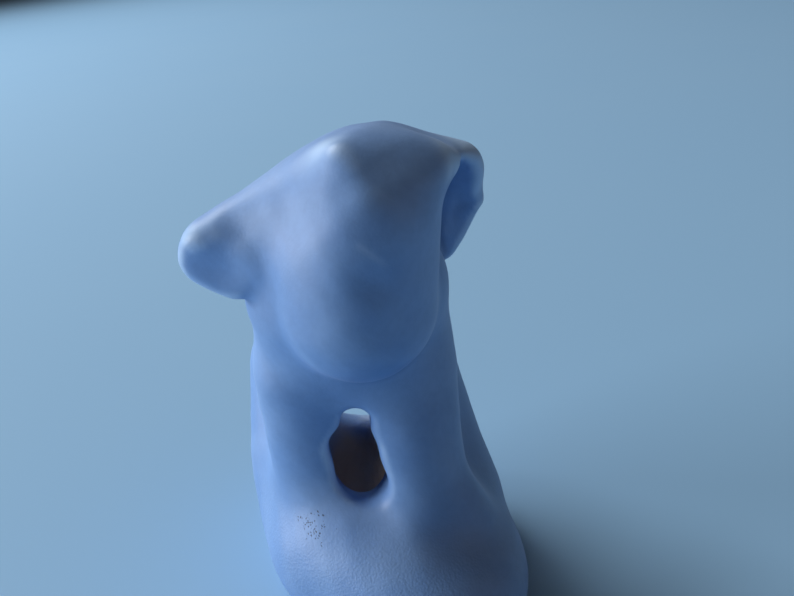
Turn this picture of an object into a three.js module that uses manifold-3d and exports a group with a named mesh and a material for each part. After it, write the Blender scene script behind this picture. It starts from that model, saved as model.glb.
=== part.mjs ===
// Glazed ceramic elephant, one hollow-cast piece standing on its own low rounded base.
// Millimetres, +Z up. The elephant faces -Y, so its own left side is +X.
// The whole form is one soft blend of round limbs, so it is written as a distance field:
// negative inside the clay, zero on its surface, and turned into facets at the end.
import * as THREE from 'three';
import Module from 'manifold-3d';

const wasm = await Module();
wasm.setup();

// Where the middle of the footprint lies before the figure is moved onto the origin
const FOOTPRINT_CENTRE = [-1.6, 6.73];

// Low base: an oval dome, turned a little about Z (degrees)
const BASE = { centre: [-1.1, 4.4, 8.4], radii: [20.5, 32.6, 17], turn: 30.7 };
const BASE_BLEND = 7.6;

// Hindquarters, each limb a rod between two round ends
const RIGHT_HAUNCH = { top: [-13.2, 28, 33.2], foot: [-13.1, 20.3, 19.5], radii: [11, 12.8] };
const LEFT_HAUNCH = { top: [5.9, 19.8, 41.5], foot: [9.3, 12.1, 11.6], radii: [9.3, 11.5] };
const BARREL = { top: [0, 8, 48], foot: [-3, 23, 42], radii: [13.5, 13.5] };
const CORE = { top: [-2.5, 9, 40], foot: [-3, 9, 12], radii: [12.2, 14] };
const CORE_BLEND = 5;

// Chest, neck and forelegs, with the web of clay that joins the forefeet
const CHEST = { top: [-0.5, 2.5, 60], foot: [-4.4, 7.1, 48.9], radii: [16.3, 10.1] };
const RIGHT_FORELEG = { top: [-9.7, 1, 46.2], foot: [-11.8, 5.8, 14.3], radii: [8.4, 7.7] };
const LEFT_FORELEG = { top: [5.5, 0.8, 43.7], foot: [8.2, -8.8, 13.8], radii: [9.6, 5.9] };
const WEB = { top: [-11.3, -1.6, 10.4], foot: [6, -2.5, 13.2], radii: [8, 8] };
const FORELEG_PAIR_BLEND = 4;
const FORELEG_BLEND = 5.7;
const BODY_BLEND = 7;
const WEB_BLEND = 6;

// Opening between the forelegs: three rods stacked into a tall slot, a deep well under
// the belly, and a round way out between the hind feet
const SLOT = [
  { top: [-1.3, -17.9, 42.6], foot: [-3.4, 10, 36.9], radii: [2.1, 2.6] },
  { top: [-2.8, -18.1, 37], foot: [-4.4, 10, 31.2], radii: [3.8, 4.4] },
  { top: [-2.3, -18, 31.1], foot: [-3.8, 10, 25.4], radii: [3.6, 5.6] },
];
const SLOT_BLEND = 3;
const WELL = { centre: [-4, 11.5, 16], radii: [6.5, 15, 11.5] };
const REAR_WAY = { top: [-4, 18, 25.5], foot: [-6, 42, 26], radii: [8, 9.5] };
const WELL_BLEND = 4;
const OPENING_EDGE = 1.3;

// Face: two planes meet in a keel, sharp at the crown and softer towards the trunk
const CROWN_PEAK = [1.6, -12, 87.7];
const RIGHT_CHEEK_NORMAL = [-0.64, -0.63, 0.43];
const LEFT_CHEEK_NORMAL = [0.33, -0.66, 0.69];
const KEEL = { sharp: 2.1, soft: 14.1, sharpHeight: 86.2, softHeight: 64.2 };
const TRUNK = { top: [2.8, -7.8, 89.7], foot: [1.4, -8.3, 61.6], radii: [14.2, 11.6] };
const TRUNK_BLEND = 4.2;
const FACE_BACK = 6;

// Roof of the head, falling from the crown to both ear tips
const ROOF = [
  { point: [1.2, -4.6, 86.1], normal: [-0.38, 0.11, 0.87], edge: 4.8 },
  { point: [9.4, -2, 86.3], normal: [0.35, 0.05, 0.95], edge: 6.1 },
];
const SKULL = { centre: [-1.4, 6, 71.9], radii: [12.5, 11, 13] };
const SKULL_BLEND = 4.8;

// Ears: thick plates through crown, tip, lower tip and jaw, each with a shallow cup in front
const RIGHT_EAR = {
  crown: [-1, 0.2, 82.3], tip: [-19.5, -1.4, 73], low: [-20.1, -0.3, 69.4], jaw: [-16.3, -3.9, 68],
  half: 4.8, cup: { centre: [-21.4, -15, 67.7], radii: [10.3, 10.2, 8.8] },
};
const LEFT_EAR = {
  crown: [8.7, 3.6, 84.2], tip: [19.2, 1.9, 78.6], low: [20.5, 7, 70], jaw: [15.4, 9.8, 62.4],
  half: 3.2, cup: { centre: [16.9, -3.5, 75.5], radii: [6.4, 5.8, 4.8] },
};
const CUP_EDGE = 3;
const RIGHT_EAR_BLEND = 5.7;
const LEFT_EAR_BLEND = 5.5;
const NECK_BLEND = 1.5;

// Soft thumb dents, and low swellings (depth below zero), on the face, the ears and the base
const DENTS = [
  { centre: [4.2, -17.4, 69], spread: 2.6, depth: 0.98 },
  { centre: [12, -11.1, 18.6], spread: 5.5, depth: 2.01 },
  { centre: [2.2, -15.2, 82.3], spread: 2.7, depth: 0.38 },
  { centre: [-4.6, -14.5, 75.7], spread: 3.9, depth: -0.15 },
  { centre: [-6.3, -18.9, 65.1], spread: 4.2, depth: 0.42 },
  { centre: [19.2, 0.8, 76.3], spread: 4.1, depth: -0.96 },
  { centre: [17.8, 3.7, 70], spread: 4, depth: 2.22 },
  { centre: [-9.1, -9.8, 20.4], spread: 6, depth: -1.09 },
  { centre: [16.1, -9.1, 22.6], spread: 4.3, depth: -1.9 },
  { centre: [1, -11.6, 87], spread: 2.1, depth: -0.55 },
  { centre: [16.9, -5.5, 80], spread: 2.9, depth: -1.98 },
  { centre: [-1.6, -13, 22.6], spread: 3.2, depth: 0.46 },
];

// Facets
const FACET_SIZE = 2.2;
const LOWER_CORNER = [-31, -33, -2.6];
const UPPER_CORNER = [30, 45, 90];
const CLOSING_DEPTH = 1.3;
const SETTLE_STEPS = 4;
const NUDGE = 0.17;
const MOST_NUDGES = 12;
const GRADIENT_STEP = 0.05;

const vector = (numbers) => new THREE.Vector3(...numbers);

// Blends of two distances; k is how far the blend reaches
function smoothMin(a, b, k) {
  const h = Math.max(k - Math.abs(a - b), 0) / k;
  return Math.min(a, b) - h * h * k * 0.25;
}

function smoothMax(a, b, k) {
  return -smoothMin(-a, -b, k);
}

function join(k, ...fields) {
  return (p) => fields.map((field) => field(p)).reduce((a, b) => smoothMin(a, b, k));
}

function cut(k, body, tool) {
  return (p) => smoothMax(body(p), -tool(p), k);
}

// An oval solid, optionally turned about Z
function oval({ centre, radii, turn = 0 }) {
  const middle = vector(centre);
  const size = vector(radii);
  const axis = new THREE.Vector3(0, 0, 1);
  const angle = -THREE.MathUtils.degToRad(turn);
  return (p) => {
    const q = p.clone().sub(middle).applyAxisAngle(axis, angle);
    const k0 = q.divide(size).length();
    const k1 = Math.max(q.divide(size).length(), 1e-6);
    return k0 * (k0 - 1) / k1;
  };
}

// A rod that tapers from one round end to the other
function rod({ top, foot, radii }) {
  const start = vector(top);
  const along = vector(foot).sub(start);
  const length = along.length();
  along.normalize();
  const sine = (radii[0] - radii[1]) / length;
  const cosine = Math.sqrt(1 - sine * sine);
  return (p) => {
    const q = p.clone().sub(start);
    const y = q.dot(along);
    const x = Math.sqrt(Math.max(q.lengthSq() - y * y, 0));
    const slope = y * cosine - x * sine;
    if (slope < 0) return Math.hypot(x, y) - radii[0];
    if (slope > length * cosine) return Math.hypot(x, y - length) - radii[1];
    return x * cosine + y * sine - radii[0];
  };
}

// The triangle between three places, thickened on every side
function plate(corners, half) {
  const triangle = new THREE.Triangle(...corners.map(vector));
  const nearest = new THREE.Vector3();
  return (p) => triangle.closestPointToPoint(p, nearest).distanceTo(p) - half;
}

function halfSpace({ point, normal }) {
  const direction = vector(normal).normalize();
  const offset = direction.dot(vector(point));
  return (p) => direction.dot(p) - offset;
}

function body() {
  const forelegs = join(FORELEG_PAIR_BLEND, rod(RIGHT_FORELEG), rod(LEFT_FORELEG));
  const front = join(FORELEG_BLEND, forelegs, rod(CHEST));
  const middle = join(CORE_BLEND, join(BODY_BLEND, front, rod(BARREL)), rod(CORE));
  const rightHaunch = rod(RIGHT_HAUNCH);
  const leftHaunch = rod(LEFT_HAUNCH);
  const haunches = (p) => Math.min(rightHaunch(p), leftHaunch(p));
  const standing = join(BODY_BLEND, join(BASE_BLEND, oval(BASE), haunches), middle);
  return join(WEB_BLEND, standing, rod(WEB));
}

function opening() {
  return join(WELL_BLEND, join(SLOT_BLEND, ...SLOT.map(rod)), oval(WELL), rod(REAR_WAY));
}

function face() {
  const rightCheek = halfSpace({ point: CROWN_PEAK, normal: RIGHT_CHEEK_NORMAL });
  const leftCheek = halfSpace({ point: CROWN_PEAK, normal: LEFT_CHEEK_NORMAL });
  const trunk = rod(TRUNK);
  return (p) => {
    const fade = THREE.MathUtils.smoothstep(-p.z, -KEEL.sharpHeight, -KEEL.softHeight);
    const keel = THREE.MathUtils.lerp(KEEL.sharp, KEEL.soft, fade);
    const cheeks = smoothMax(rightCheek(p), leftCheek(p), keel);
    return Math.max(smoothMax(cheeks, trunk(p), TRUNK_BLEND), p.y - FACE_BACK);
  };
}

function ear({ crown, tip, low, jaw, half, cup }) {
  const upper = plate([crown, tip, jaw], half);
  const lower = plate([tip, low, jaw], half);
  return cut(CUP_EDGE, (p) => Math.min(upper(p), lower(p)), oval(cup));
}

function head() {
  const skull = join(SKULL_BLEND, face(), oval(SKULL));
  const oneEar = join(RIGHT_EAR_BLEND, skull, ear(RIGHT_EAR));
  const bothEars = join(LEFT_EAR_BLEND, oneEar, ear(LEFT_EAR));
  const roofs = ROOF.map((roof) => ({ side: halfSpace(roof), edge: roof.edge }));
  return (p) => roofs.reduce((d, { side, edge }) => smoothMax(d, side(p), edge), bothEars(p));
}

function dented(form) {
  const dents = DENTS.map((dent) => ({ ...dent, middle: vector(dent.centre) }));
  return (p) => {
    let d = form(p);
    for (const { middle, spread, depth } of dents) {
      d += depth * Math.exp(-p.distanceToSquared(middle) / (2 * spread * spread));
    }
    return d;
  };
}

function figurine() {
  const hollowed = cut(OPENING_EDGE, body(), opening());
  const form = dented(join(NECK_BLEND, hollowed, head()));
  return (p) => Math.max(form(p), -p.z - CLOSING_DEPTH);
}

// Moves a place onto the surface along the steepest way
function settle(field, place, reach) {
  const p = place.clone();
  const probe = new THREE.Vector3();
  for (let step = 0; step < SETTLE_STEPS; step += 1) {
    const slope = new THREE.Vector3();
    for (let axis = 0; axis < 3; axis += 1) {
      const ahead = probe.copy(p).setComponent(axis, p.getComponent(axis) + GRADIENT_STEP);
      const high = field(ahead);
      const behind = probe.copy(p).setComponent(axis, p.getComponent(axis) - GRADIENT_STEP);
      slope.setComponent(axis, (high - field(behind)) / (2 * GRADIENT_STEP));
    }
    p.addScaledVector(slope, -field(p) / Math.max(slope.lengthSq(), 0.25));
  }
  return p.sub(place).clampLength(0, reach).add(place);
}

// Surface nets: one vertex in each cube that the surface passes through, and one
// four-sided facet, halved into triangles, across each cube edge that it crosses
function facets(field, lower, upper, size) {
  const counts = lower.map((low, axis) => Math.ceil((upper[axis] - low) / size) + 1);
  const strides = [1, counts[0], counts[0] * counts[1]];
  const total = counts[0] * counts[1] * counts[2];
  const placeOf = (i, j, k) => vector([lower[0] + i * size, lower[1] + j * size, lower[2] + k * size]);
  const values = new Float64Array(total);
  const everyNode = (visit, margin) => {
    for (let k = 0; k < counts[2] - margin; k += 1) {
      for (let j = 0; j < counts[1] - margin; j += 1) {
        for (let i = 0; i < counts[0] - margin; i += 1) {
          visit(i, j, k, i * strides[0] + j * strides[1] + k * strides[2]);
        }
      }
    }
  };
  everyNode((i, j, k, index) => {
    values[index] = field(placeOf(i, j, k));
  }, 0);

  const corners = [];
  for (let corner = 0; corner < 8; corner += 1) {
    corners.push([corner & 1, (corner >> 1) & 1, (corner >> 2) & 1]);
  }
  const stepOf = ([a, b, c]) => a * strides[0] + b * strides[1] + c * strides[2];
  const cellVertex = new Int32Array(total).fill(-1);
  const vertices = [];
  everyNode((i, j, k, index) => {
    const crossing = new THREE.Vector3();
    let found = 0;
    corners.forEach((start, corner) => {
      for (let axis = 0; axis < 3; axis += 1) {
        if (start[axis] === 0) {
          const end = corners[corner + (1 << axis)];
          const a = values[index + stepOf(start)];
          const b = values[index + stepOf(end)];
          if ((a < 0) !== (b < 0)) {
            crossing.add(vector(start).lerp(vector(end), a / (a - b)));
            found += 1;
          }
        }
      }
    });
    if (found > 0) {
      const place = crossing.multiplyScalar(size / found).add(placeOf(i, j, k));
      cellVertex[index] = vertices.length;
      vertices.push(settle(field, place, size / 2));
    }
  }, 1);

  const triangles = [];
  everyNode((i, j, k, index) => {
    for (let axis = 0; axis < 3; axis += 1) {
      const inside = values[index] < 0;
      if (inside !== (values[index + strides[axis]] < 0)) {
        const b = strides[(axis + 1) % 3];
        const c = strides[(axis + 2) % 3];
        const ring = [index, index - b, index - b - c, index - c].map((cell) => cellVertex[cell]);
        if (!inside) ring.reverse();
        const [first, second, third, fourth] = ring;
        const across = vertices[first].distanceTo(vertices[third]);
        if (across < vertices[second].distanceTo(vertices[fourth])) {
          triangles.push(first, second, third, first, third, fourth);
        } else {
          triangles.push(first, second, fourth, second, third, fourth);
        }
      }
    }
  }, 1);
  return { vertices, triangles };
}

// True where every edge joins just two facets
function isClosed({ triangles }) {
  const uses = new Map();
  for (let index = 0; index < triangles.length; index += 1) {
    const start = triangles[index];
    const end = triangles[index % 3 === 2 ? index - 2 : index + 1];
    const key = Math.min(start, end) * triangles.length + Math.max(start, end);
    uses.set(key, (uses.get(key) ?? 0) + 1);
  }
  return [...uses.values()].every((count) => count === 2);
}

// A crease narrower than a cube can pinch two sheets together, so the grid is nudged past it
function closedFacets(field) {
  for (let nudge = 0; nudge < MOST_NUDGES; nudge += 1) {
    const lower = LOWER_CORNER.map((low) => low - nudge * NUDGE);
    const surface = facets(field, lower, UPPER_CORNER, FACET_SIZE);
    if (isClosed(surface)) return surface;
  }
  throw new Error('no grid gives a closed surface');
}

function solidOf(vertices, triangles) {
  const vertProperties = new Float32Array(vertices.flatMap((p) => [p.x, p.y, p.z]));
  const triVerts = new Uint32Array(triangles);
  return new wasm.Manifold(new wasm.Mesh({ numProp: 3, vertProperties, triVerts }));
}

// A block below the ground, which cuts the underside flat
function groundBlock() {
  const side = 200;
  const depth = 40;
  const block = new THREE.BoxGeometry(side, side, depth).translate(0, 0, -depth / 2);
  const position = block.getAttribute('position');
  const vertices = [];
  const seen = new Map();
  const merged = Array.from({ length: position.count }, (_, index) => {
    const p = new THREE.Vector3().fromBufferAttribute(position, index);
    const key = p.toArray().join(' ');
    if (!seen.has(key)) {
      seen.set(key, vertices.length);
      vertices.push(p);
    }
    return seen.get(key);
  });
  return solidOf(vertices, Array.from(block.index.array, (index) => merged[index]));
}

function figurineGeometry() {
  const { vertices, triangles } = closedFacets(figurine());
  const standing = solidOf(vertices, triangles).subtract(groundBlock()).getMesh();
  const geometry = new THREE.BufferGeometry();
  geometry.setAttribute('position', new THREE.BufferAttribute(standing.vertProperties, 3));
  geometry.setIndex(new THREE.BufferAttribute(standing.triVerts, 1));
  geometry.translate(-FOOTPRINT_CENTRE[0], -FOOTPRINT_CENTRE[1], 0);
  geometry.computeVertexNormals();
  return geometry;
}

const glaze = new THREE.MeshStandardMaterial({ color: 0x7f9fd0, roughness: 0.42, metalness: 0 });
const elephant = new THREE.Mesh(figurineGeometry(), glaze);
elephant.name = 'elephant';

const group = new THREE.Group();
group.add(elephant);

export default group;
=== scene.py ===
import bpy
import numpy as np
from bpy.props import FloatProperty, FloatVectorProperty, PointerProperty
from mathutils import Matrix, Vector


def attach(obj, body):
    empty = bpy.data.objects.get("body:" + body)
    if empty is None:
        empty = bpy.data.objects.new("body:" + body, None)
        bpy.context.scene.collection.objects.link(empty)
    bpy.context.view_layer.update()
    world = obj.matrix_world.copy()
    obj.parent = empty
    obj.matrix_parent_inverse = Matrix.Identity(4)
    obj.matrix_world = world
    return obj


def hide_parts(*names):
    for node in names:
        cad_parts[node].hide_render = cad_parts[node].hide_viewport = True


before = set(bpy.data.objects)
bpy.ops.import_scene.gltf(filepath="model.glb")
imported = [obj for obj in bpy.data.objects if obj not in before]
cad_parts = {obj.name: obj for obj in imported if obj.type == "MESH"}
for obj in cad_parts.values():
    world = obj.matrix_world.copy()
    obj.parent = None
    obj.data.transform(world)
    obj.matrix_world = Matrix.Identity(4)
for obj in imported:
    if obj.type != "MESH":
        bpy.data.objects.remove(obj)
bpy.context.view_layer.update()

bl_info = {
    "name": "Ceramic elephant",
    "version": (1, 0, 0),
    "blender": (4, 5, 0),
    "location": "View3D > Sidebar > Elephant",
    "description": "A glazed ceramic elephant on its own low base, in a plain studio",
    "category": "Object",
}

MILLIMETRE = 0.001
TINY = 1e-6

# Where the middle of the footprint lies before the figure is moved onto the origin
FOOTPRINT_CENTRE = (-1.6, 6.73)

# Low base: an oval dome, turned a little about Z (degrees)
BASE = dict(centre=(-1.1, 4.4, 8.4), radii=(20.5, 32.6, 17), turn=30.7)
BASE_BLEND = 7.6

# Hindquarters, each limb a rod between two round ends
RIGHT_HAUNCH = dict(top=(-13.2, 28, 33.2), foot=(-13.1, 20.3, 19.5), radii=(11, 12.8))
LEFT_HAUNCH = dict(top=(5.9, 19.8, 41.5), foot=(9.3, 12.1, 11.6), radii=(9.3, 11.5))
BARREL = dict(top=(0, 8, 48), foot=(-3, 23, 42), radii=(13.5, 13.5))
CORE = dict(top=(-2.5, 9, 40), foot=(-3, 9, 12), radii=(12.2, 14))
CORE_BLEND = 5

# Chest, neck and forelegs, with the web of clay that joins the forefeet
CHEST = dict(top=(-0.5, 2.5, 60), foot=(-4.4, 7.1, 48.9), radii=(16.3, 10.1))
RIGHT_FORELEG = dict(top=(-9.7, 1, 46.2), foot=(-11.8, 5.8, 14.3), radii=(8.4, 7.7))
LEFT_FORELEG = dict(top=(5.5, 0.8, 43.7), foot=(8.2, -8.8, 13.8), radii=(9.6, 5.9))
WEB = dict(top=(-11.3, -1.6, 10.4), foot=(6, -2.5, 13.2), radii=(8, 8))
FORELEG_PAIR_BLEND = 4
FORELEG_BLEND = 5.7
BODY_BLEND = 7
WEB_BLEND = 6

# Opening between the forelegs: three rods stacked into a tall slot, a deep well under
# the belly, and a round way out between the hind feet
SLOT = (
    dict(top=(-1.3, -17.9, 42.6), foot=(-3.4, 10, 36.9), radii=(2.1, 2.6)),
    dict(top=(-2.8, -18.1, 37), foot=(-4.4, 10, 31.2), radii=(3.8, 4.4)),
    dict(top=(-2.3, -18, 31.1), foot=(-3.8, 10, 25.4), radii=(3.6, 5.6)),
)
SLOT_BLEND = 3
WELL = dict(centre=(-4, 11.5, 16), radii=(6.5, 15, 11.5))
REAR_WAY = dict(top=(-4, 18, 25.5), foot=(-6, 42, 26), radii=(8, 9.5))
WELL_BLEND = 4
OPENING_EDGE = 1.3

# Face: two planes meet in a keel, sharp at the crown and softer towards the trunk
CROWN_PEAK = (1.6, -12, 87.7)
RIGHT_CHEEK_NORMAL = (-0.64, -0.63, 0.43)
LEFT_CHEEK_NORMAL = (0.33, -0.66, 0.69)
KEEL = dict(sharp=2.1, soft=14.1, sharp_height=86.2, soft_height=64.2)
TRUNK = dict(top=(2.8, -7.8, 89.7), foot=(1.4, -8.3, 61.6), radii=(14.2, 11.6))
TRUNK_BLEND = 4.2
FACE_BACK = 6

# Roof of the head, falling from the crown to both ear tips
ROOF = (
    dict(point=(1.2, -4.6, 86.1), normal=(-0.38, 0.11, 0.87), edge=4.8),
    dict(point=(9.4, -2, 86.3), normal=(0.35, 0.05, 0.95), edge=6.1),
)
SKULL = dict(centre=(-1.4, 6, 71.9), radii=(12.5, 11, 13))
SKULL_BLEND = 4.8

# Ears: thick plates through crown, tip, lower tip and jaw, each with a shallow cup in front
RIGHT_EAR = dict(
    crown=(-1, 0.2, 82.3), tip=(-19.5, -1.4, 73), low=(-20.1, -0.3, 69.4), jaw=(-16.3, -3.9, 68),
    half=4.8, cup=dict(centre=(-21.4, -15, 67.7), radii=(10.3, 10.2, 8.8)),
)
LEFT_EAR = dict(
    crown=(8.7, 3.6, 84.2), tip=(19.2, 1.9, 78.6), low=(20.5, 7, 70), jaw=(15.4, 9.8, 62.4),
    half=3.2, cup=dict(centre=(16.9, -3.5, 75.5), radii=(6.4, 5.8, 4.8)),
)
CUP_EDGE = 3
RIGHT_EAR_BLEND = 5.7
LEFT_EAR_BLEND = 5.5
NECK_BLEND = 1.5

# Soft thumb dents, and low swellings (depth below zero), on the face, the ears and the base
DENTS = (
    dict(centre=(4.2, -17.4, 69), spread=2.6, depth=0.98),
    dict(centre=(12, -11.1, 18.6), spread=5.5, depth=2.01),
    dict(centre=(2.2, -15.2, 82.3), spread=2.7, depth=0.38),
    dict(centre=(-4.6, -14.5, 75.7), spread=3.9, depth=-0.15),
    dict(centre=(-6.3, -18.9, 65.1), spread=4.2, depth=0.42),
    dict(centre=(19.2, 0.8, 76.3), spread=4.1, depth=-0.96),
    dict(centre=(17.8, 3.7, 70), spread=4, depth=2.22),
    dict(centre=(-9.1, -9.8, 20.4), spread=6, depth=-1.09),
    dict(centre=(16.1, -9.1, 22.6), spread=4.3, depth=-1.9),
    dict(centre=(1, -11.6, 87), spread=2.1, depth=-0.55),
    dict(centre=(16.9, -5.5, 80), spread=2.9, depth=-1.98),
    dict(centre=(-1.6, -13, 22.6), spread=3.2, depth=0.46),
)

# Slow waves in the clay, each the product of two ripples: radians per millimetre along
# X, Y and Z, then where the ripple starts
WAVES = (
    dict(share=0.7, ripples=((0.41, 0, 0.23, 1.1), (0, 0.37, -0.31, 0.4))),
    dict(share=0.3, ripples=((0.29, 0, 0.83, 0), (0.71, -0.47, 0, 2))),
)

# Grid of cubes that the surface is sampled on, nudged by a little until the mesh is closed
LOWER_CORNER = (-31, -33, -1.4)
UPPER_CORNER = (30, 45, 90)
NUDGE = 0.07
MOST_NUDGES = 12
CUBE_CORNERS = np.array([(i, j, k) for i in (0, 1) for j in (0, 1) for k in (0, 1)])
AXES = np.eye(3, dtype=int)

# Grid nodes on a side of one block. A block is worked out finely where its middle is
# within the reach of the surface, counted in cubes.
BLOCK = 4
BLOCK_REACH = 5.5

# How many places the field is worked out for at once
PLACES_AT_ONCE = 200000

# How vertices settle onto the surface and are evened out, the step in millimetres
GRADIENT_STEP = 0.03
LEAST_SLOPE = 0.5
SETTLE_STEPS = 3
EVEN_ROUNDS = 3

# Where the glaze runs thin and where it pools, by the curvature per millimetre at which
# each begins and is full, and the painted shade, by how far clay closes in (reaches in millimetres)
CURVATURE_REACH = 1.2
EDGE_BEND = (0.16, 0.6)
HOLLOW_BEND = (0.05, 0.5)
HOLLOW_SHARE = 0.8
SHELTER_SHADE_SHARE = 0.2
SHELTER_REACHES = (1.5, 3.0, 6.0)

# Heights over which the grain fades to its least share, and over which bare clay ends
GRAIN_TOP = (14, 26)
LEAST_GRAIN = 0.25
BARE_TOP = (0.45, 0.75)

# The dull wash in the opening: how deep inside the body it starts and is full, and the
# heights and the places along Y over which it fades out
WASH_DEPTH = (0.5, 5)
WASH_TOP = (15, 21)
WASH_BACK = (25, 29)

# Clusters of pinholes in the glaze of the base
PIT_CLUSTERS = (
    dict(centre=(-12.6, -7.6, 21.7), spread=1.1, weight=1.0),
    dict(centre=(-13.8, -6.3, 21.9), spread=0.9, weight=0.9),
    dict(centre=(-11.2, -9.4, 21.1), spread=1.1, weight=0.9),
)

# Pale patch below the crown's peak: thin glaze, and a painted highlight
CROWN_THIN_AND_HIGHLIGHT = dict(centre=(0, -8.4, 85.5), spread=2.0, weight=1.0)

# Faint pale streak across the front of the trunk
PALE_STREAK = dict(start=(3.2, -19.2, 74.6), end=(6.1, -19.5, 71.6), width=0.45, weight=0.35)

# Patterns of the glaze and of the bare clay, in repeats per metre
CLOUD_SCALE = 70
MOTTLE_SCALE = 900
PEEL_SCALE = 520
GRAIN_SCALE = 2700
PIT_SCALE = 2300
PIT_DRIFT_SCALE = 1800
FOOT_EDGE_SCALE = 350
CLAY_GRAIN_SCALE = 2500

# Range that the noise mostly stays in, and the part of it that shows as pale clouds
NOISE_RANGE = (0.3, 0.7)
CLOUD_RANGE = (0.35, 0.7)

# Bumps: strength, then height in metres, which for the pinholes is a property
PEEL_BUMP = (0.25, 0.00012)
GRAIN_BUMP = (0.7, 0.00009)
CLAY_BUMP = (0.6, 0.00008)
PIT_STRENGTH = 0.8

# Pinholes: how far they drift in metres, and where in its cell a hole is full and has ended
PIT_DRIFT = 0.0007
PIT_RIM = (0.2, 0.44)

# Edge of the bare foot: how far it wanders, and where it turns from glaze to clay
FOOT_WANDER = 0.3
FOOT_EDGE = (0.45, 0.55)

# Roughness: the least and most that the clouds add, and what bare clay adds
CLOUD_ROUGHNESS = (-0.04, 0.05)
CLAY_ROUGHNESS = 0.4

# How strongly each mark shows in the colour, and the share of cells that are pinholes
CLOUD_SHARE = 0.18
MOTTLE_SHARE = 0.1
THICK_AND_SHADE_SHARE = 0.75
THIN_AND_HIGHLIGHT_SHARE = 0.8
WASH_SHARE = 0.95
PIT_SHARE = 0.85
PIT_CROWDING = 0.8
CLAY_GRAIN_SHARE = 0.35

# Colour in the pinholes, and the darker tone of the bare clay
PIT_COLOUR = (0.04, 0.07, 0.13)
CLAY_SHADE = (0.45, 0.39, 0.33)

# Floor: the colour, share and scale of its clouds, and half its side in metres
FLOOR_CLOUD = (0.30, 0.50, 0.70)
FLOOR_CLOUD_SHARE = 0.1
FLOOR_CLOUD_SCALE = 6
FLOOR_REACH = 6.0

# Soft lights: square lamps in metres that face one place, and the tint of the air
LIGHTS = (
    dict(name="key_light", side=0.9, place=(-1.48, 0.0, 0.28), colour=(1.0, 1.0, 1.0)),
    dict(name="sky_light", side=1.8, place=(-1.45, 1.5, 2.15), colour=(1.0, 1.0, 1.0)),
    dict(name="fill_light", side=0.8, place=(0.85, -0.45, 0.5), colour=(1.0, 0.76, 0.56)),
)
LIT_PLACE = (0, 0, 0.045)
AIR_COLOUR = (1.0, 0.92, 0.86)

# Camera: its place in the form's millimetres, how far it tips down from +Y and rolls in
# degrees, its lens and sensor in millimetres, and its near and far limits in metres
CAMERA_PLACE = (7.07, -115.24, 111.42)
CAMERA_TIP = 25
CAMERA_ROLL = 8
CAMERA_LENS = 36.4
CAMERA_SENSOR = 36.0
CAMERA_CLIP = (0.005, 50.0)

# Sockets of a Mix node that mixes colours, and the room between nodes
MIX_SHARE = 0
MIX_FIRST = 6
MIX_SECOND = 7
MIX_RESULT = 2
NODE_GAP = 180


def smooth_min(a, b, k):
    """The smaller of two values, rounded off where they are within k of each other."""
    h = np.maximum(k - np.abs(a - b), 0) / k
    return np.minimum(a, b) - h * h * k / 4


def smooth_max(a, b, k):
    """The larger of two values, rounded off in the same way."""
    return -smooth_min(-a, -b, k)


def smooth_step(x, low, high):
    """0 up to low, 1 from high on."""
    t = np.clip((x - low) / (high - low), 0, 1)
    return t * t * (3 - 2 * t)


def faded(x, low, high):
    """1 up to low, 0 from high on."""
    return 1 - smooth_step(x, low, high)


def soft_spot(p, centre, spread):
    """1 at the centre, falling away like a bell."""
    away = ((p - np.array(centre)) ** 2).sum(1)
    return np.exp(-away / (2 * spread ** 2))


def join(k, *fields):
    """One solid from several, with the clay smoothed over k where they meet."""
    def field(p):
        d = fields[0](p)
        for other in fields[1:]:
            d = smooth_min(d, other(p), k)
        return d
    return field


def nearest(*fields):
    """One solid from several, with plain creases."""
    return lambda p: np.minimum.reduce([field(p) for field in fields])


def cut(k, solid, tool):
    """A solid with another taken out of it, its edge rounded over k."""
    return lambda p: smooth_max(solid(p), -tool(p), k)


def oval(centre, radii, turn=0):
    """An oval solid, optionally turned about Z."""
    turned = np.array(Matrix.Rotation(np.radians(turn), 3, "Z"))
    size = np.array(radii, float)

    def field(p):
        q = (p - np.array(centre)) @ turned / size
        share = np.linalg.norm(q, axis=1)
        slope = np.maximum(np.linalg.norm(q / size, axis=1), TINY)
        return share * (share - 1) / slope
    return field


def rod(top, foot, radii):
    """A rod that tapers from one round end to the other."""
    start = np.array(top, float)
    along = np.array(foot, float) - start
    length = np.linalg.norm(along)
    along = along / length
    sine = (radii[0] - radii[1]) / length
    cosine = np.sqrt(1 - sine * sine)

    def field(p):
        q = p - start
        y = q @ along
        x = np.sqrt(np.maximum((q * q).sum(1) - y * y, 0))
        slope = y * cosine - x * sine
        side = x * cosine + y * sine - radii[0]
        first = np.hypot(x, y) - radii[0]
        last = np.hypot(x, y - length) - radii[1]
        return np.where(slope < 0, first, np.where(slope > length * cosine, last, side))
    return field


def plate(corners, half):
    """The triangle between three places, thickened on every side."""
    a, b, c = (np.array(corner, float) for corner in corners)
    normal = np.cross(b - a, a - c)
    edges = ((b - a, a), (c - b, b), (a - c, c))

    def field(p):
        inside = np.ones(len(p), bool)
        squares = []
        for edge, corner in edges:
            q = p - corner
            inside &= q @ np.cross(edge, normal) >= 0
            t = np.clip(q @ edge / (edge @ edge), 0, 1)
            squares.append(((q - t[:, None] * edge) ** 2).sum(1))
        flat = ((p - a) @ normal) ** 2 / (normal @ normal)
        return np.sqrt(np.where(inside, flat, np.minimum.reduce(squares))) - half
    return field


def half_space(point, normal):
    """Everything behind a plane."""
    direction = np.array(normal, float) / np.linalg.norm(normal)
    offset = direction @ np.array(point)
    return lambda p: p @ direction - offset


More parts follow.
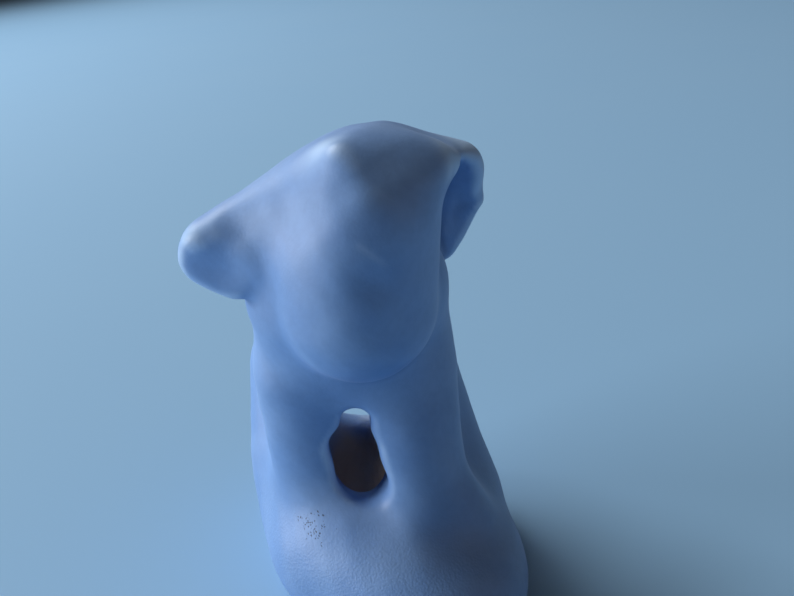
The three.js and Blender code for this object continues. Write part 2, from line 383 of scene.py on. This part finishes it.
def body():
    """Base, haunches, barrel, chest and forelegs, before the opening is cut."""
    forelegs = join(FORELEG_PAIR_BLEND, rod(**RIGHT_FORELEG), rod(**LEFT_FORELEG))
    front = join(FORELEG_BLEND, forelegs, rod(**CHEST))
    middle = join(CORE_BLEND, join(BODY_BLEND, front, rod(**BARREL)), rod(**CORE))
    haunches = nearest(rod(**RIGHT_HAUNCH), rod(**LEFT_HAUNCH))
    standing = join(BODY_BLEND, join(BASE_BLEND, oval(**BASE), haunches), middle)
    return join(WEB_BLEND, standing, rod(**WEB))


def opening():
    """The hollow from the gap between the forelegs to the way out behind."""
    slot = join(SLOT_BLEND, *(rod(**part) for part in SLOT))
    return join(WELL_BLEND, slot, oval(**WELL), rod(**REAR_WAY))


def face():
    """Two cheek planes and the trunk, the keel between them softer further down."""
    right_cheek = half_space(CROWN_PEAK, RIGHT_CHEEK_NORMAL)
    left_cheek = half_space(CROWN_PEAK, LEFT_CHEEK_NORMAL)
    trunk = rod(**TRUNK)

    def field(p):
        softening = faded(p[:, 2], KEEL["soft_height"], KEEL["sharp_height"])
        keel = KEEL["sharp"] + (KEEL["soft"] - KEEL["sharp"]) * softening
        cheeks = smooth_max(right_cheek(p), left_cheek(p), keel)
        return np.maximum(smooth_max(cheeks, trunk(p), TRUNK_BLEND), p[:, 1] - FACE_BACK)
    return field


def ear(crown, tip, low, jaw, half, cup):
    """Two plates side by side, hollowed in front."""
    blade = nearest(plate((crown, tip, jaw), half), plate((tip, low, jaw), half))
    return cut(CUP_EDGE, blade, oval(**cup))


def head():
    """Face, skull and ears under the falling roof."""
    skull = join(SKULL_BLEND, face(), oval(**SKULL))
    one_ear = join(RIGHT_EAR_BLEND, skull, ear(**RIGHT_EAR))
    both_ears = join(LEFT_EAR_BLEND, one_ear, ear(**LEFT_EAR))
    roofs = [(half_space(roof["point"], roof["normal"]), roof["edge"]) for roof in ROOF]

    def field(p):
        d = both_ears(p)
        for roof, edge in roofs:
            d = smooth_max(d, roof(p), edge)
        return d
    return field


def waves(p):
    """The slow waves that a hand leaves in wet clay, between -1 and 1."""
    total = 0
    for wave in WAVES:
        first, second = (np.sin(p @ np.array(ripple[:3]) + ripple[3]) for ripple in wave["ripples"])
        total = total + wave["share"] * first * second
    return total


def figurine(foot_round, waviness):
    """The whole form, with its dents, its waves and a rounded foot."""
    clay = join(NECK_BLEND, cut(OPENING_EDGE, body(), opening()), head())

    def field(p):
        d = clay(p)
        for dent in DENTS:
            d = d + dent["depth"] * soft_spot(p, dent["centre"], dent["spread"])
        d = d + waviness * waves(p)
        return smooth_max(d, -p[:, 2], foot_round)
    return field


def in_slices(field, places):
    """The field at many places, a slice at a time to save memory."""
    starts = range(0, len(places), PLACES_AT_ONCE)
    return np.concatenate([field(places[start:start + PLACES_AT_ONCE]) for start in starts])


def sampled(field, lower, size):
    """The field on every node of the grid, worked out finely only in blocks near the surface."""
    blocks = np.ceil((np.array(UPPER_CORNER) - lower) / (size * BLOCK)).astype(int)
    counts = blocks * BLOCK
    index = np.stack(np.meshgrid(*map(np.arange, blocks), indexing="ij"), -1).reshape(-1, 3)
    coarse = in_slices(field, lower + (index * BLOCK + (BLOCK - 1) / 2) * size)
    values = np.kron(coarse.reshape(blocks), np.ones((BLOCK,) * 3))
    near = index[np.abs(coarse) < BLOCK_REACH * size]
    inner = np.stack(np.meshgrid(*(np.arange(BLOCK),) * 3, indexing="ij"), -1).reshape(-1, 3)
    nodes = (near[:, None] * BLOCK + inner).reshape(-1, 3)
    values[tuple(nodes.T)] = in_slices(field, lower + nodes * size)
    return values.reshape(counts)


def gradient(field, p):
    """How steeply the field rises along X, Y and Z."""
    slopes = [
        (in_slices(field, p + shift) - in_slices(field, p - shift)) / (2 * GRADIENT_STEP)
        for shift in np.eye(3) * GRADIENT_STEP
    ]
    return np.stack(slopes, 1)


def settled(field, p, reach):
    """Places moved onto the surface along the steepest way, but no further than the reach."""
    start = p
    for _ in range(SETTLE_STEPS):
        slope = gradient(field, p)
        square = np.maximum((slope * slope).sum(1), LEAST_SLOPE ** 2)
        p = p - slope * (in_slices(field, p) / square)[:, None]
    way = p - start
    far = np.maximum(np.linalg.norm(way, axis=1, keepdims=True) / reach, 1)
    return start + way / far


def crossed_cubes(inside):
    """The cubes that have some of their corners in the clay, but not all."""
    cells = np.array(inside.shape) - 1
    filled = np.zeros(cells, np.int8)
    for i, j, k in CUBE_CORNERS:
        filled += inside[i:i + cells[0], j:j + cells[1], k:k + cells[2]]
    return np.argwhere((filled > 0) & (filled < len(CUBE_CORNERS)))


def vertices_in(values, cubes):
    """One vertex in each cube, in the middle of the places where its edges leave the clay."""
    total = np.zeros((len(cubes), 3))
    found = np.zeros(len(cubes))
    for corner in CUBE_CORNERS:
        for edge in AXES[corner == 0]:
            a = values[tuple((cubes + corner).T)]
            b = values[tuple((cubes + corner + edge).T)]
            crossed = (a < 0) != (b < 0)
            t = np.where(crossed, a / np.where(crossed, a - b, 1), 0)
            total += (corner + edge * t[:, None]) * crossed[:, None]
            found += crossed
    return cubes + total / found[:, None]


def facets_between(inside, cubes):
    """One four-sided facet across each cube edge that leaves the clay, facing outwards."""
    cells = np.array(inside.shape) - 1
    vertex_of = np.full(cells, -1)
    vertex_of[tuple(cubes.T)] = np.arange(len(cubes))
    facets = []
    for axis in range(3):
        crossing = np.argwhere(inside != np.roll(inside, -1, axis))
        crossing = crossing[(crossing < cells).all(1) & (crossing > 0).all(1)]
        b = AXES[(axis + 1) % 3]
        c = AXES[(axis + 2) % 3]
        around = (0 * b, b, b + c, c)
        ring = np.stack([vertex_of[tuple((crossing - back).T)] for back in around], 1)
        leaving = inside[tuple(crossing.T)]
        facets.append(np.where(leaving[:, None], ring, ring[:, ::-1]))
    return np.concatenate(facets)


def surface(field, lower, size):
    """A net of vertices and facets over the surface, on a grid of cubes of the given size."""
    values = sampled(field, lower, size)
    inside = values < 0
    cubes = crossed_cubes(inside)
    return lower + vertices_in(values, cubes) * size, facets_between(inside, cubes)


def edges_of(facets):
    """The edges of every facet, as pairs of vertices with the lower one first."""
    pairs = np.stack([facets, np.roll(facets, -1, 1)], -1).reshape(-1, 2)
    return np.sort(pairs, 1)


def closed_surface(field, size):
    """A crease narrower than a cube can pinch two sheets together, so the grid is nudged past it."""
    for nudge in range(MOST_NUDGES):
        lower = np.array(LOWER_CORNER) - nudge * NUDGE
        vertices, facets = surface(field, lower, size)
        edges, uses = np.unique(edges_of(facets), axis=0, return_counts=True)
        if (uses == 2).all():
            return vertices, facets, edges
    raise RuntimeError("no grid gives a closed surface")


def evened(vertices, edges):
    """Each vertex halfway to the middle of its neighbours."""
    ends = np.concatenate([edges, edges[:, ::-1]])
    count = np.bincount(ends[:, 0], minlength=len(vertices))
    middle = np.stack([
        np.bincount(ends[:, 0], vertices[ends[:, 1], axis], len(vertices)) / count
        for axis in range(3)
    ], 1)
    return (vertices + middle) / 2


def curvature(field, p):
    """Sum of both curvatures per millimetre, positive on a ridge."""
    shifts = np.vstack([AXES, -AXES]) * CURVATURE_REACH
    around = sum(in_slices(field, p + shift) for shift in shifts)
    return (around - len(shifts) * in_slices(field, p)) / CURVATURE_REACH ** 2


def sheltered(field, p, normals):
    """How far nearby clay closes in over a place, 0 in the open and 1 in a deep crease; it sets where
    shade is painted.
    """
    room = sum(np.clip(in_slices(field, p + normals * reach) / reach, 0, 1) for reach in SHELTER_REACHES)
    return 1 - room / len(SHELTER_REACHES)


def clustered(p):
    """Where pinholes gather, 1 in the middle of the densest cluster."""
    return np.maximum.reduce([
        cluster["weight"] * soft_spot(p, cluster["centre"], cluster["spread"]) for cluster in PIT_CLUSTERS
    ])


def crown_thin_and_highlit(p):
    """The thin glaze and the painted highlight below the crown's peak, as a soft spot."""
    return CROWN_THIN_AND_HIGHLIGHT["weight"] * soft_spot(p, CROWN_THIN_AND_HIGHLIGHT["centre"], CROWN_THIN_AND_HIGHLIGHT["spread"])


def streaked(p):
    """The pale tone along the streak."""
    start = np.array(PALE_STREAK["start"])
    along = np.array(PALE_STREAK["end"]) - start
    share = np.clip((p - start) @ along / (along @ along), 0, 1)
    away = np.linalg.norm(p - start - share[:, None] * along, axis=1)
    return PALE_STREAK["weight"] * np.exp(-(away / PALE_STREAK["width"]) ** 2)


def glaze_masks(field, p):
    """What the kiln leaves where: thin glaze on edges, thick glaze in hollows, bare clay at the foot,
    with shade painted where clay closes in and a highlight painted below the crown.
    """
    slope = gradient(field, p)
    normals = slope / np.linalg.norm(slope, axis=1, keepdims=True)
    bend = curvature(field, p)
    y, z = p[:, 1], p[:, 2]
    hollow = HOLLOW_SHARE * smooth_step(-bend, *HOLLOW_BEND)
    # Painted shade: where nearby clay closes in, the glaze is darkened as if by shadow
    pooled_and_shaded = hollow + SHELTER_SHADE_SHARE * sheltered(field, p, normals)
    deep = smooth_step(-in_slices(body(), p), *WASH_DEPTH)
    return {
        # Thin glaze on edges, a painted highlight below the crown's peak, and the pale streak
        "thin_glaze_and_highlight": np.maximum.reduce([smooth_step(bend, *EDGE_BEND), crown_thin_and_highlit(p), streaked(p)]),
        # Pooled glaze in hollows, and painted shade where clay closes in
        "thick_glaze_and_shade": np.clip(pooled_and_shaded, 0, 1),
        "pitted": clustered(p),
        "low_down": LEAST_GRAIN + (1 - LEAST_GRAIN) * faded(z, *GRAIN_TOP),
        "inner_wall": deep * faded(z, *WASH_TOP) * faded(y, *WASH_BACK),
        "bare_clay": faded(z, *BARE_TOP),
    }


class CERAMIC_PG_form(bpy.types.PropertyGroup):
    facet: FloatProperty(
        name="Facet size", description="Side of one facet of the surface",
        default=0.00056, min=0.0004, max=0.003, precision=5, unit="LENGTH")
    foot_round: FloatProperty(
        name="Foot rounding", description="Reach of the rounding where the side meets the underside",
        default=0.0016, min=0.0002, max=0.004, precision=5, unit="LENGTH")
    waviness: FloatProperty(
        name="Waviness", description="Depth of the slow waves left in the clay by hand",
        default=0.0001, min=0, max=0.001, precision=5, unit="LENGTH")


class CERAMIC_PG_glaze(bpy.types.PropertyGroup):
    colour: FloatVectorProperty(
        name="Glaze", description="Colour of the glaze on open faces",
        default=(0.15, 0.305, 0.63), min=0, max=1, subtype="COLOR")
    # This pale colour also paints a highlight below the crown's peak, besides thin glaze on edges
    thin_and_highlight_colour: FloatVectorProperty(
        name="Thin glaze", description="Colour on edges, where pale clay shows through",
        default=(0.42, 0.62, 0.90), min=0, max=1, subtype="COLOR")
    # This dark colour also paints shade in creases and where clay closes in, besides pooled glaze
    thick_and_shade_colour: FloatVectorProperty(
        name="Thick glaze", description="Colour in creases and hollows, where the glaze pools",
        default=(0.09, 0.18, 0.40), min=0, max=1, subtype="COLOR")
    inner_colour: FloatVectorProperty(
        name="Inner wall", description="Colour inside the opening, where a thin wash of glaze is dull",
        default=(0.72, 0.58, 0.46), min=0, max=1, subtype="COLOR")
    clay_colour: FloatVectorProperty(
        name="Bare clay", description="Colour of the unglazed foot",
        default=(0.62, 0.56, 0.48), min=0, max=1, subtype="COLOR")
    roughness: FloatProperty(
        name="Roughness", description="Roughness of the satin glaze",
        default=0.56, min=0, max=1, subtype="FACTOR")
    pit_depth: FloatProperty(
        name="Pit depth", description="Depth of the pinholes in the glaze",
        default=0.00012, min=0, max=0.001, precision=5, unit="LENGTH")


class CERAMIC_PG_studio(bpy.types.PropertyGroup):
    floor_colour: FloatVectorProperty(
        name="Floor", description="Colour of the pale floor",
        default=(0.26, 0.47, 0.70), min=0, max=1, subtype="COLOR")
    key_power: FloatProperty(
        name="Key light", description="Power of the large soft light low on the left",
        default=22.0, min=0, unit="POWER")
    sky_power: FloatProperty(
        name="Sky light", description="Power of the large soft light high behind on the left",
        default=70.0, min=0, unit="POWER")
    fill_power: FloatProperty(
        name="Fill light", description="Power of the weak warm light on the right",
        default=0.7, min=0, unit="POWER")
    ambient: FloatProperty(
        name="Ambient", description="Strength of the light from all around",
        default=0.06, min=0)


class NodeBoard:
    """Places the nodes of one material and joins their sockets."""

    def __init__(self, name):
        self.material = bpy.data.materials.new(name)
        self.material.use_nodes = True
        self.tree = self.material.node_tree
        self.tree.nodes.clear()
        self.column = 0

    def add(self, kind, inputs=None, **settings):
        node = self.tree.nodes.new(kind)
        node.location = (self.column * NODE_GAP, 0)
        self.column += 1
        for key, value in settings.items():
            setattr(node, key, value)
        for key, value in (inputs or {}).items():
            self.feed(node, key, value)
        return node

    def feed(self, node, key, value):
        if isinstance(value, bpy.types.NodeSocket):
            self.tree.links.new(value, node.inputs[key])
        else:
            node.inputs[key].default_value = value

    def object_place(self):
        return self.add("ShaderNodeTexCoord").outputs["Object"]

    def mask(self, name):
        return self.add("ShaderNodeAttribute", attribute_name=name).outputs["Fac"]

    def noise(self, place, scale, detail=2.0):
        node = self.add("ShaderNodeTexNoise", {"Vector": place, "Scale": scale, "Detail": detail})
        return node.outputs["Fac"]

    def cells(self, place, scale, feature):
        """Rounded cells, each with a colour of its own."""
        return self.add("ShaderNodeTexVoronoi", {"Vector": place, "Scale": scale}, feature=feature)

    def drifted(self, place, scale, reach):
        """Places shifted a little by noise, so that a regular pattern turns uneven."""
        drift = self.add("ShaderNodeTexNoise", {"Vector": place, "Scale": scale}).outputs["Color"]
        shift = {0: drift, 1: (reach,) * 3, 2: place}
        return self.add("ShaderNodeVectorMath", shift, operation="MULTIPLY_ADD").outputs["Vector"]

    def ramp(self, value, low, high, to_low=0.0, to_high=1.0):
        return self.add("ShaderNodeMapRange", {
            "Value": value, "From Min": low, "From Max": high, "To Min": to_low, "To Max": to_high,
        }, interpolation_type="SMOOTHSTEP").outputs["Result"]

    def spread(self, noise, to_low, to_high):
        """Noise brought from the range that it mostly stays in to another one."""
        return self.ramp(noise, *NOISE_RANGE, to_low, to_high)

    def math(self, operation, *values):
        node = self.add("ShaderNodeMath", operation=operation)
        for index, value in enumerate(values):
            self.feed(node, index, value)
        return node.outputs["Value"]

    def times(self, first, second):
        return self.math("MULTIPLY", first, second)

    def blend(self, share, first, second):
        node = self.add("ShaderNodeMix", data_type="RGBA")
        self.feed(node, MIX_SHARE, share)
        self.feed(node, MIX_FIRST, first)
        self.feed(node, MIX_SECOND, second)
        return node.outputs[MIX_RESULT]

    def bump(self, height, strength, distance, normal=None):
        node = self.add("ShaderNodeBump", {"Height": height, "Strength": strength, "Distance": distance})
        if normal is not None:
            self.feed(node, "Normal", normal)
        return node.outputs["Normal"]

    def finish(self, inputs):
        """The finished material, with these inputs to its shader."""
        shader = self.add("ShaderNodeBsdfPrincipled", inputs)
        self.add("ShaderNodeOutputMaterial", {"Surface": shader.outputs["BSDF"]})
        return self.material


def opaque(colour):
    return (*colour, 1)


def glaze_colour(board, place, cloud, props):
    """The glaze on open faces, on edges, in hollows and on the deep inner wall, with shade painted in
    creases and a highlight painted below the crown.
    """
    glaze = opaque(props.colour)
    thin = opaque(props.thin_and_highlight_colour)
    thick = opaque(props.thick_and_shade_colour)
    mottle = board.noise(place, MOTTLE_SCALE)
    colour = board.blend(board.ramp(cloud, *CLOUD_RANGE, 0.0, CLOUD_SHARE), glaze, thin)
    colour = board.blend(board.spread(mottle, 0.0, MOTTLE_SHARE), colour, thick)
    # Dark colour from pooled glaze and from painted shade in creases
    colour = board.blend(board.times(board.mask("thick_glaze_and_shade"), THICK_AND_SHADE_SHARE), colour, thick)
    # Pale colour from thin glaze on edges and from a painted highlight below the crown's peak
    colour = board.blend(board.times(board.mask("thin_glaze_and_highlight"), THIN_AND_HIGHLIGHT_SHARE), colour, thin)
    wash = board.times(board.mask("inner_wall"), WASH_SHARE)
    return board.blend(wash, colour, opaque(props.inner_colour))


def pinholes(board, place):
    """1 in the holes: a few of the cells of an uneven pattern, chosen where the glaze is pitted."""
    uneven = board.drifted(place, PIT_DRIFT_SCALE, PIT_DRIFT)
    pits = board.cells(uneven, PIT_SCALE, "F1")
    hole = board.ramp(pits.outputs["Distance"], *PIT_RIM, 1.0, 0.0)
    chance = board.add("ShaderNodeSeparateColor", {"Color": pits.outputs["Color"]}).outputs[0]
    chosen = board.math("LESS_THAN", chance, board.times(board.mask("pitted"), PIT_CROWDING))
    return board.times(hole, chosen)


def bare_foot(board, place):
    """1 on the bare clay, whose upper edge wanders."""
    wander = board.spread(board.noise(place, FOOT_EDGE_SCALE, detail=3), -FOOT_WANDER, FOOT_WANDER)
    return board.ramp(board.math("ADD", board.mask("bare_clay"), wander), *FOOT_EDGE)


def glaze_material(props):
    """Satin glaze with its clouds, edges, hollows, pinholes, grain and bare foot, and with painted shade
    in creases and a painted highlight below the crown.
    """
    board = NodeBoard("satin_blue_glaze")
    place = board.object_place()
    cloud = board.noise(place, CLOUD_SCALE, detail=3)
    hole = pinholes(board, place)
    foot = bare_foot(board, place)
    clay_grain = board.noise(place, CLAY_GRAIN_SCALE)

    glaze = glaze_colour(board, place, cloud, props)
    pitted_glaze = board.blend(board.times(hole, PIT_SHARE), glaze, opaque(PIT_COLOUR))
    clay_share = board.spread(clay_grain, 0.0, CLAY_GRAIN_SHARE)
    clay = board.blend(clay_share, opaque(props.clay_colour), opaque(CLAY_SHADE))

    satin = board.spread(cloud, *(props.roughness + change for change in CLOUD_ROUGHNESS))
    roughness = board.math("ADD", satin, board.times(foot, CLAY_ROUGHNESS))

    grains = board.cells(place, GRAIN_SCALE, "SMOOTH_F1").outputs["Distance"]
    normal = board.bump(board.noise(place, PEEL_SCALE), *PEEL_BUMP)
    normal = board.bump(board.times(grains, board.mask("low_down")), *GRAIN_BUMP, normal)
    normal = board.bump(board.times(hole, -1.0), PIT_STRENGTH, props.pit_depth, normal)
    normal = board.bump(board.times(clay_grain, foot), *CLAY_BUMP, normal)

    return board.finish({
        "Base Color": board.blend(foot, pitted_glaze, clay),
        "Roughness": roughness,
        "Normal": normal,
        "IOR": 1.5,
        "Coat Weight": 0.15,
        "Coat Roughness": 0.38,
        "Sheen Weight": 0.04,
        "Sheen Roughness": 0.4,
    })


def floor_material(props):
    """Matt floor with faint broad clouds."""
    board = NodeBoard("pale_floor")
    cloud = board.noise(board.object_place(), FLOOR_CLOUD_SCALE)
    share = board.spread(cloud, 0.0, FLOOR_CLOUD_SHARE)
    colour = board.blend(share, opaque(props.floor_colour), opaque(FLOOR_CLOUD))
    return board.finish({"Base Color": colour, "Roughness": 0.9})


def mesh_of(name, vertices, facets):
    mesh = bpy.data.meshes.new(name)
    mesh.from_pydata(vertices.tolist(), [], facets.tolist())
    mesh.validate()
    mesh.polygons.foreach_set("use_smooth", np.ones(len(mesh.polygons), bool))
    mesh.update()
    return mesh


class CERAMIC_OT_elephant(bpy.types.Operator):
    """Models the one-piece figure and gives it its glaze"""
    bl_idname = "ceramic.elephant"
    bl_label = "Elephant"

    def execute(self, context):
        props = context.scene.ceramic_form
        size = props.facet / MILLIMETRE
        field = figurine(props.foot_round / MILLIMETRE, props.waviness / MILLIMETRE)
        vertices, facets, edges = closed_surface(field, size)
        vertices = settled(field, vertices, size / 2)
        for _ in range(EVEN_ROUNDS):
            vertices = settled(field, evened(vertices, edges), size / 2)
        masks = glaze_masks(field, vertices)

        shift = np.array((*FOOTPRINT_CENTRE, 0))
        mesh = mesh_of("glazed_elephant", (vertices - shift) * MILLIMETRE, facets)
        for name, values in masks.items():
            attribute = mesh.attributes.new(name, "FLOAT", "POINT")
            attribute.data.foreach_set("value", values.astype(np.float32))
        mesh.materials.append(glaze_material(context.scene.ceramic_glaze))
        figure = bpy.data.objects.new("glazed_elephant", mesh)
        context.scene.collection.objects.link(figure)
        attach(figure, "root")
        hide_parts("elephant")
        return {"FINISHED"}


def lay_floor(scene, props):
    corners = np.array([(-1, -1, 0), (1, -1, 0), (1, 1, 0), (-1, 1, 0)]) * FLOOR_REACH
    mesh = mesh_of("floor", corners, np.array([(0, 1, 2, 3)]))
    mesh.materials.append(floor_material(props))
    floor = bpy.data.objects.new("floor", mesh)
    scene.collection.objects.link(floor)


def soft_light(scene, name, power, side, place, colour):
    light = bpy.data.lights.new(name, "AREA")
    light.energy = power
    light.size = side
    light.color = colour
    lamp = bpy.data.objects.new(name, light)
    lamp.location = place
    way = Vector(LIT_PLACE) - lamp.location
    lamp.rotation_euler = way.to_track_quat("-Z", "Y").to_euler()
    scene.collection.objects.link(lamp)


def light_air(scene, strength):
    world = bpy.data.worlds.new("studio_air")
    world.use_nodes = True
    background = world.node_tree.nodes["Background"]
    background.inputs["Color"].default_value = opaque(AIR_COLOUR)
    background.inputs["Strength"].default_value = strength
    scene.world = world


def stand_camera(scene):
    camera = bpy.data.cameras.new("camera")
    camera.sensor_fit = "HORIZONTAL"
    camera.sensor_width = CAMERA_SENSOR
    camera.lens = CAMERA_LENS
    camera.clip_start, camera.clip_end = CAMERA_CLIP
    stand = bpy.data.objects.new("camera", camera)
    tipped = Matrix.Rotation(np.radians(90 - CAMERA_TIP), 4, "X")
    rolled = Matrix.Rotation(np.radians(-CAMERA_ROLL), 4, "Z")
    place = (np.array(CAMERA_PLACE) - (*FOOTPRINT_CENTRE, 0)) * MILLIMETRE
    stand.matrix_world = Matrix.Translation(place) @ tipped @ rolled
    scene.collection.objects.link(stand)
    scene.camera = stand


class CERAMIC_OT_studio(bpy.types.Operator):
    """Lays the pale floor and sets the soft lights and the camera"""
    bl_idname = "ceramic.studio"
    bl_label = "Studio"

    def execute(self, context):
        scene = context.scene
        props = scene.ceramic_studio
        lay_floor(scene, props)
        powers = (props.key_power, props.sky_power, props.fill_power)
        for light, power in zip(LIGHTS, powers):
            soft_light(scene, power=power, **light)
        light_air(scene, props.ambient)
        stand_camera(scene)
        scene.view_settings.view_transform = "Standard"
        return {"FINISHED"}


class CERAMIC_PT_sidebar(bpy.types.Panel):
    """The figure, its glaze and its studio"""
    bl_label = "Ceramic elephant"
    bl_idname = "CERAMIC_PT_sidebar"
    bl_space_type = "VIEW_3D"
    bl_region_type = "UI"
    bl_category = "Elephant"

    def draw(self, context):
        for name, operator in SECTIONS:
            box = self.layout.box()
            group = getattr(context.scene, name)
            for prop in group.bl_rna.properties:
                if prop.identifier not in ("rna_type", "name"):
                    box.prop(group, prop.identifier)
            if operator:
                box.operator(operator)


GROUPS = (
    ("ceramic_form", CERAMIC_PG_form),
    ("ceramic_glaze", CERAMIC_PG_glaze),
    ("ceramic_studio", CERAMIC_PG_studio),
)
CLASSES = (CERAMIC_OT_elephant, CERAMIC_OT_studio, CERAMIC_PT_sidebar)

# What the sidebar shows: each group of sizes or colours, and the button under it
SECTIONS = (
    ("ceramic_form", "ceramic.elephant"),
    ("ceramic_glaze", None),
    ("ceramic_studio", "ceramic.studio"),
)


def register():
    for name, group in GROUPS:
        bpy.utils.register_class(group)
        setattr(bpy.types.Scene, name, PointerProperty(type=group))
    for cls in CLASSES:
        bpy.utils.register_class(cls)


def unregister():
    for cls in reversed(CLASSES):
        bpy.utils.unregister_class(cls)
    for name, group in reversed(GROUPS):
        delattr(bpy.types.Scene, name)
        bpy.utils.unregister_class(group)


def main():
    register()
    bpy.ops.ceramic.elephant()
    bpy.ops.ceramic.studio()


if __name__ == "__main__":
    main()
